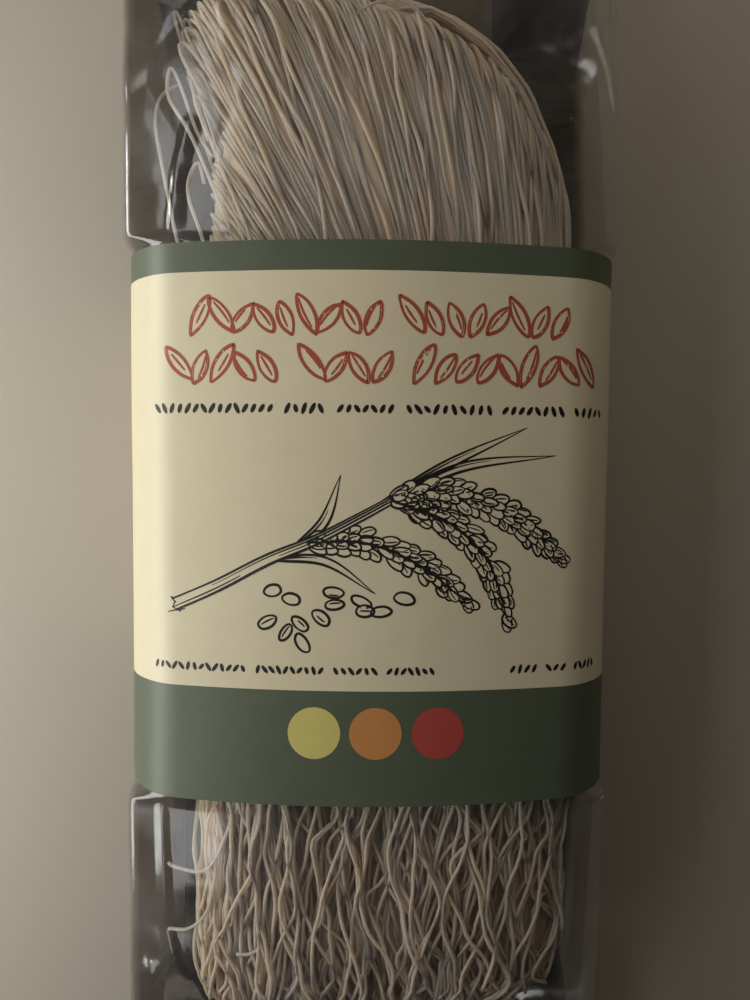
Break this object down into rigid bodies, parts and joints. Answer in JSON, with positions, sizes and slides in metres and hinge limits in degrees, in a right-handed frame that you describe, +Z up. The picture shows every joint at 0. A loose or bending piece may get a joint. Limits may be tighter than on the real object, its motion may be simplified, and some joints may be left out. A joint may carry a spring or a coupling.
{
  "type": "pack of dried rice vermicelli",
  "caption": "Clear film bag of dried rice vermicelli in a folded hank, lying on its back, with a printed paper sleeve round its middle and a flat seal at each end.",
  "frame": {"origin": "on the surface that the pack lies on, under the middle of its length and width", "axes": "+Z up out of the printed face, +Y along the pack towards the top of the print, +X across it to the reader's right"},
  "size_m": [0.095, 0.26, 0.046],
  "materials": {
    "film": "clear glossy film over off-white dried noodles",
    "paper": "satin coated paper, cream with muted green bands"
  },
  "bodies": {
    "root": {"film_bag": "film", "paper_sleeve": "paper"}
  },
  "joints": []
}
